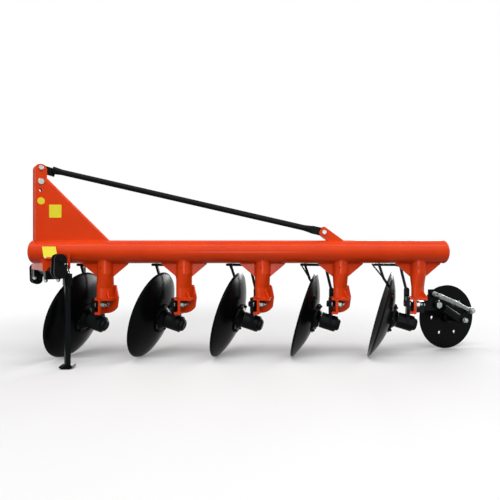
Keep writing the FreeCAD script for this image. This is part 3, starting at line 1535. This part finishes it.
def wheel_bracket():
    """Plate bolted beside the last standard's head; it carries the arm and the adjuster."""
    thick = S.arm_thick
    near = bracket_near
    start = -S.arm_pivot_x / cosine(S.wheel_yaw) + S.arm_thick / 2
    half = S.lug_wide
    end = S.arm_boss / 2
    lug_x, lug_z = -S.screw_front, S.screw_rise
    lug_half = S.lug_wide / 2
    step = half * 0.72
    top = lug_z + S.lug_over
    points = [
        (start, -half),
        (end, -half),
        (end, step),
        (lug_x + lug_half, step),
        (lug_x + lug_half, top),
        (lug_x - lug_half, top),
        (lug_x - lug_half, half),
        (start, half),
    ]
    corners = [
        (end, -half, end * ROUND_END),
        (end, step, end * ROUND_END),
        (lug_x + lug_half, top, lug_half / 2),
        (lug_x - lug_half, top, lug_half / 2),
    ]
    flat = plate("wheel_bracket_plate", points, thick, corners=corners)
    flat.Placement = arm_place().multiply(place(y=near + thick / 2))
    pivot_boss = boss("wheel_bracket_boss", 0.0, 0.0, S.arm_boss, S.boss_gap, near)
    pivot_boss.Placement = arm_place().multiply(pivot_boss.Placement)
    screw_pin = boss("wheel_bracket_screw_pin", lug_x, lug_z, S.screw_pin, screw_pin_start, near)
    screw_pin.Placement = arm_place().multiply(screw_pin.Placement)
    pin_hole = boss("wheel_bracket_hole", 0.0, 0.0, S.arm_pin + 2 * S.pin_gap, -thick, near + 2 * thick)
    pin_hole.Placement = arm_place().multiply(pin_hole.Placement)
    # The mounting block reaches from the head's far side back to the plate.
    block_near = cheek_side
    block_far = S.arm_pivot_y - S.arm_pivot_x * (sine(S.wheel_yaw) / cosine(S.wheel_yaw))
    block_front, block_rear = -S.flange_tip + S.head_round, S.shelf_back - S.rib_thick
    block_wide = block_far - block_near + S.arm_thick
    block = plate(
        "wheel_bracket_block",
        [
            (block_front, arm_pivot_high - half),
            (block_rear, arm_pivot_high - half),
            (block_rear, arm_pivot_high + half),
            (block_front, arm_pivot_high + half),
        ],
        block_wide,
    )
    middle = block_near + block_wide / 2
    block.Placement = standard_place(DISC_COUNT).multiply(place(y=middle))
    welded = fuse("wheel_bracket_solid", flat, pivot_boss, screw_pin, block)
    node(cut("wheel_bracket", welded, pin_hole), "wheel_bracket")


def arm_bolt():
    """Pivot bolt of the wheel arm."""
    near = -(S.arm_thick + S.boss_gap)
    grip = S.arm_thick + S.boss_gap + bracket_near + S.arm_thick
    headed_pin(
        "arm_bolt", S.arm_pin, grip, S.arm_pin * 1.8, S.arm_pin / 2, S.arm_pin / 2,
        arm_place().multiply(place(y=near)),
    )


def furrow_wheel():
    """Flat steel wheel with a ring of holes and a long hub."""
    label = "furrow_wheel"
    bore = S.axle_dia / 2 + S.pin_gap
    hub = S.wheel_hub / 2
    half_hub = S.wheel_hub_long / 2
    half_plate = S.wheel_thick / 2
    slope = hub - S.wheel_hub_end / 2
    edge = half_plate / 2
    points = [
        (bore, -half_hub),
        (hub - slope, -half_hub),
        (hub, -half_hub + slope),
        (hub, -half_plate),
        (wheel_radius - edge, -half_plate),
        (wheel_radius, -edge),
        (wheel_radius, edge),
        (wheel_radius - edge, half_plate),
        (hub, half_plate),
        (hub, half_hub - slope),
        (hub - slope, half_hub),
        (bore, half_hub),
    ]
    wheel = turned(label, points)
    hole = holes(
        wheel, label + "_hole", "XY_Plane", [(S.wheel_hole_ring / 2, 0.0, S.wheel_holes)],
        2 * S.wheel_thick,
    )
    ring = wheel.newObject("PartDesign::PolarPattern", label + "_ring")
    ring.Originals = [hole]
    origin = {item.Role: item for item in wheel.Origin.OriginFeatures}
    ring.Axis = (origin["Z_Axis"], [""])
    ring.Angle = 360
    ring.Occurrences = WHEEL_HOLES
    wheel.Tip = ring
    lies = arm_place().multiply(
        place(S.arm_run, S.wheel_offset, -axle_fall, axis=(1, 0, 0), angle=-90)
    )
    node(wheel, label, lies)


def adjuster():
    """Screw adjuster from the bracket's lug to the arm's lug: barrel and screw."""
    run_x = S.screw_front + S.screw_back
    run_z = S.screw_rise + S.screw_fall
    length = root(run_x * run_x + run_z * run_z)
    fall = math.degrees(math.atan2(float(run_z), float(run_x)))
    lies = arm_place().multiply(
        place(-S.screw_front, screw_side, S.screw_rise, axis=(0, 1, 0), angle=90 + fall)
    )
    outer, rod, neck = S.screw_barrel / 2, S.screw_rod / 2, S.screw_neck / 2
    collar = length * 0.55
    collar_half = S.screw_rod / 4
    barrel_end_at = collar + 2 * S.screw_rod
    bore_low = length * 0.3
    shoulder = S.screw_eye
    bore = rod + S.pin_gap
    points = [
        (0.0, S.screw_pin),
        (neck, S.screw_pin),
        (neck, shoulder),
        (outer, shoulder + outer - neck),
        (outer, barrel_end_at - S.screw_slack),
        (outer - S.screw_slack, barrel_end_at),
        (bore, barrel_end_at),
        (bore, bore_low),
        (0.0, bore_low),
    ]
    tube = turned("adjuster_barrel_tube", points)
    hexagon = doc.addObject("Part::Prism", "adjuster_barrel_hexagon")
    bind(hexagon, Circumradius=S.screw_collar / 2, Height=2 * collar_half)
    hexagon.Polygon = 6
    hexagon.Placement = place(z=collar - collar_half)
    hexagon_bore = cylinder("adjuster_barrel_hexagon_bore", outer - S.seat_gap, length,
                            place())
    eye_wide = S.screw_pin * 1.25
    ring = cylinder(
        "adjuster_barrel_ring", S.screw_eye / 2, eye_wide,
        place(y=-eye_wide / 2, axis=(1, 0, 0), angle=-90),
    )
    hole = cylinder(
        "adjuster_barrel_hole", S.screw_pin / 2 + S.pin_gap, eye_wide * 2,
        place(y=-eye_wide, axis=(1, 0, 0), angle=-90),
    )
    collar_ring = cut("adjuster_barrel_collar", hexagon, hexagon_bore)
    solid = fuse("adjuster_barrel_solid", tube, ring, collar_ring)
    node(cut("adjuster_barrel", solid, hole), "adjuster_barrel", lies)
    boss_half = S.screw_boss_long / 2
    rod_start, rod_stop = length * 0.42, length - S.screw_boss / 3
    screw = turned(
        "adjuster_screw_rod", [(0.0, rod_start), (rod, rod_start), (rod, rod_stop), (0.0, rod_stop)]
    )
    end_ring = cylinder(
        "adjuster_screw_ring", S.screw_boss / 2, S.screw_boss_long,
        place(y=-boss_half, z=length, axis=(1, 0, 0), angle=-90),
    )
    end_hole = cylinder(
        "adjuster_screw_hole", S.screw_pin / 2 + S.screw_slack, S.screw_boss_long * 2,
        place(y=-S.screw_boss_long, z=length, axis=(1, 0, 0), angle=-90),
    )
    rod_solid = fuse("adjuster_screw_solid", screw, end_ring)
    node(cut("adjuster_screw", rod_solid, end_hole), "adjuster_screw", lies)


# ---------------------------------------------------------------------------------------------
# Write the pieces
# ---------------------------------------------------------------------------------------------
def write_parts():
    doc.recompute()
    for item in doc.Objects:
        if {"Invalid", "Error"} & set(item.State):
            raise RuntimeError(f"{item.Name} failed: {item.State}")
    os.makedirs("parts", exist_ok=True)
    for item in nodes:
        shape = item.Shape
        if shape.isNull() or not shape.isValid():
            raise RuntimeError(f"{item.Label} has no valid shape")
        shape.exportStep(f"parts/{item.Label}.step")
        print(f"{item.Label}: {len(shape.Solids)} solid, {shape.Volume / 1000:.0f} cm3")


main_pipe()
end_cap("end_cap_front", S.pipe_front, -1)
end_cap("end_cap_rear", pipe_rear, 1)
for disc_number in range(1, DISC_COUNT + 1):
    standard(disc_number)
    hub_housing(disc_number)
    disc_hub(disc_number)
    disc_blade(disc_number)
    scraper(disc_number)
mast_bar("mast_bar_near", -1.0)
mast_bar("mast_bar_far", 1.0)
mast_gusset()
brace_tube()
brace_ear()
mast_pins()
cross_shaft()
clevises()
hitch_saddle()
shaft_clamp("shaft_clamp_near", S.saddle_start - (S.clamp_long - S.saddle_thick * 2))
shaft_clamp("shaft_clamp_far", saddle_end - (S.clamp_long - S.saddle_thick * 2))
pipe_tab()
chain()
stand()
wheel_bracket()
wheel_arm()
arm_bolt()
furrow_wheel()
adjuster()
write_parts()
